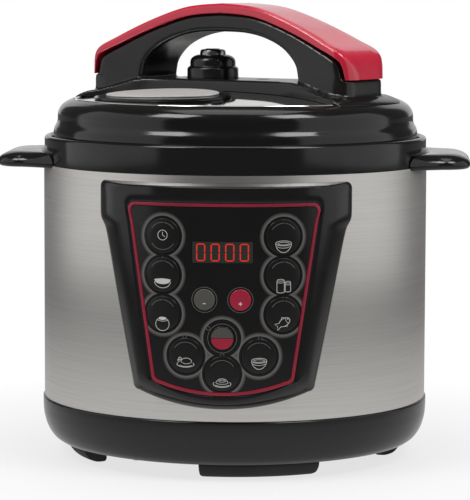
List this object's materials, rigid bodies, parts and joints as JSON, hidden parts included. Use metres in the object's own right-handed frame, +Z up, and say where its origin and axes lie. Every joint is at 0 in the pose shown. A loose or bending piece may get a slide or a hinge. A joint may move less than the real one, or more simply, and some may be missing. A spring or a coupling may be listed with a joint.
{
  "type": "electric pressure cooker",
  "caption": "Round countertop pressure cooker: brushed steel body, curved keypad panel, side grips, bayonet lid with an arched handle and valves, lift-out pot.",
  "frame": {"origin": "on the floor, under the middle of the body", "axes": "+Z up along the body's axis, -Y towards the front with the control panel, +X to the right seen from the front"},
  "size_m": [0.3434, 0.3036, 0.331],
  "materials": {
    "gloss_black": "glossy moulded",
    "satin_black": "satin moulded",
    "rubber": "matte",
    "brushed_steel": "brushed round the body",
    "polished_steel": "polished",
    "aluminium": "satin",
    "pot_coating": "non-stick coating",
    "fastener_steel": "bright",
    "red_plastic": "glossy painted",
    "trim_red": "glossy",
    "key_grey": "satin printed",
    "display_window": "tinted, glossy",
    "silicone": "soft",
    "circuit_board": "lacquered",
    "cup_plastic": "translucent"
  },
  "bodies": {
    "root": {"base_housing": "gloss_black", "upper_collar": "gloss_black", "side_handle_left": "gloss_black", "side_handle_right": "gloss_black", "panel_bezel": "gloss_black", "panel_face": "gloss_black", "condensate_bracket": "gloss_black", "bottom_cover": "satin_black", "power_inlet": "satin_black", "pressure_switch": "satin_black", "foot_1": "rubber", "foot_2": "rubber", "foot_3": "rubber", "foot_4": "rubber", "outer_shell": "brushed_steel", "heater_support": "brushed_steel", "outer_pot": "aluminium", "heater_plate": "aluminium", "sensor_spring": "fastener_steel", "bottom_screw_1": "fastener_steel", "bottom_screw_2": "fastener_steel", "bottom_screw_3": "fastener_steel", "bottom_screw_4": "fastener_steel", "side_handle_left_screw": "fastener_steel", "side_handle_right_screw": "fastener_steel", "panel_trim": "trim_red", "display_window": "display_window", "power_board": "circuit_board", "control_board": "circuit_board"},
    "inner_pot": {"inner_pot": "pot_coating"},
    "sensor_cap": {"sensor_cap": "aluminium"},
    "condensate_cup": {"condensate_cup": "cup_plastic"},
    "lid_seal": {"sealing_ring": "silicone"},
    "lid": {"lid_plate": "polished_steel", "lid_cover": "gloss_black", "lid_handle": "gloss_black", "handle_cap": "red_plastic", "badge_base": "gloss_black", "badge_plate": "brushed_steel", "handle_screw_1": "fastener_steel", "handle_screw_2": "fastener_steel", "seal_ring_holder": "polished_steel", "steam_pipe": "fastener_steel", "anti_block_shield": "polished_steel", "float_seal": "silicone"},
    "pressure_valve": {"pressure_valve": "gloss_black"},
    "valve_weight": {"valve_weight": "polished_steel"},
    "float_valve": {"float_valve": "red_plastic"},
    "key_delay": {"key_delay": "key_grey"},
    "key_rice": {"key_rice": "key_grey"},
    "key_porridge": {"key_porridge": "key_grey"},
    "key_meat": {"key_meat": "key_grey"},
    "key_jelly": {"key_jelly": "key_grey"},
    "key_soup": {"key_soup": "key_grey"},
    "key_stew": {"key_stew": "key_grey"},
    "key_baby_food": {"key_baby_food": "key_grey"},
    "key_fish": {"key_fish": "key_grey"},
    "key_cancel": {"key_cancel": "key_grey"},
    "key_minus": {"key_minus": "key_grey"},
    "key_plus": {"key_plus": "key_grey"}
  },
  "joints": [
    {"name": "lid_lift", "type": "slide", "parent": "root", "child": "lid_seal", "axis": [0, 0, 1], "range_m": [0, 0.34]},
    {"name": "lid_turn", "type": "hinge", "parent": "lid_seal", "child": "lid", "pos_m": [0, 0, 0.24], "axis": [0, 0, 1], "range_deg": [0, 30]},
    {"name": "pot_lift", "type": "slide", "parent": "root", "child": "inner_pot", "axis": [0, 0, 1], "range_m": [0, 0.17]},
    {"name": "valve_turn", "type": "hinge", "parent": "lid", "child": "pressure_valve", "pos_m": [-0.01732, 0.01, 0.28], "axis": [0, 0, 1], "range_deg": [0, 60]},
    {"name": "weight_lift", "type": "slide", "parent": "pressure_valve", "child": "valve_weight", "axis": [0, 0, 1], "range_m": [0, 0.003]},
    {"name": "float_rise", "type": "slide", "parent": "lid", "child": "float_valve", "axis": [0, 0, 1], "range_m": [0, 0.005]},
    {"name": "sensor_press", "type": "slide", "parent": "root", "child": "sensor_cap", "axis": [0, 0, -1], "range_m": [0, 0.002], "stiffness_N_per_m": 300, "springref_m": -0.003, "deforming": ["sensor_spring"]},
    {"name": "cup_pull", "type": "slide", "parent": "root", "child": "condensate_cup", "axis": [0, 1, 0], "range_m": [0, 0.03]},
    {"name": "key_delay_press", "type": "slide", "parent": "root", "child": "key_delay", "axis": [0.2782, 0.9605, 0], "range_m": [0, 0.0008], "stiffness_N_per_m": 300, "springref_m": -0.0008},
    {"name": "key_rice_press", "type": "slide", "parent": "root", "child": "key_rice", "axis": [0.2782, 0.9605, 0], "range_m": [0, 0.0008], "stiffness_N_per_m": 300, "springref_m": -0.0008},
    {"name": "key_porridge_press", "type": "slide", "parent": "root", "child": "key_porridge", "axis": [0.2782, 0.9605, 0], "range_m": [0, 0.0008], "stiffness_N_per_m": 300, "springref_m": -0.0008},
    {"name": "key_meat_press", "type": "slide", "parent": "root", "child": "key_meat", "axis": [0.1696, 0.9855, 0], "range_m": [0, 0.0008], "stiffness_N_per_m": 300, "springref_m": -0.0008},
    {"name": "key_jelly_press", "type": "slide", "parent": "root", "child": "key_jelly", "axis": [0, 1, 0], "range_m": [0, 0.0008], "stiffness_N_per_m": 300, "springref_m": -0.0008},
    {"name": "key_soup_press", "type": "slide", "parent": "root", "child": "key_soup", "axis": [-0.1696, 0.9855, 0], "range_m": [0, 0.0008], "stiffness_N_per_m": 300, "springref_m": -0.0008},
    {"name": "key_stew_press", "type": "slide", "parent": "root", "child": "key_stew", "axis": [-0.2782, 0.9605, 0], "range_m": [0, 0.0008], "stiffness_N_per_m": 300, "springref_m": -0.0008},
    {"name": "key_baby_food_press", "type": "slide", "parent": "root", "child": "key_baby_food", "axis": [-0.2782, 0.9605, 0], "range_m": [0, 0.0008], "stiffness_N_per_m": 300, "springref_m": -0.0008},
    {"name": "key_fish_press", "type": "slide", "parent": "root", "child": "key_fish", "axis": [-0.2782, 0.9605, 0], "range_m": [0, 0.0008], "stiffness_N_per_m": 300, "springref_m": -0.0008},
    {"name": "key_cancel_press", "type": "slide", "parent": "root", "child": "key_cancel", "axis": [0, 1, 0], "range_m": [0, 0.0008], "stiffness_N_per_m": 300, "springref_m": -0.0008},
    {"name": "key_minus_press", "type": "slide", "parent": "root", "child": "key_minus", "axis": [0.0831, 0.9965, 0], "range_m": [0, 0.0008], "stiffness_N_per_m": 300, "springref_m": -0.0008},
    {"name": "key_plus_press", "type": "slide", "parent": "root", "child": "key_plus", "axis": [-0.0831, 0.9965, 0], "range_m": [0, 0.0008], "stiffness_N_per_m": 300, "springref_m": -0.0008}
  ],
  "couplings": [
    {"joint": "pot_lift", "follows": "lid_lift", "ratio": 0.5}
  ]
}
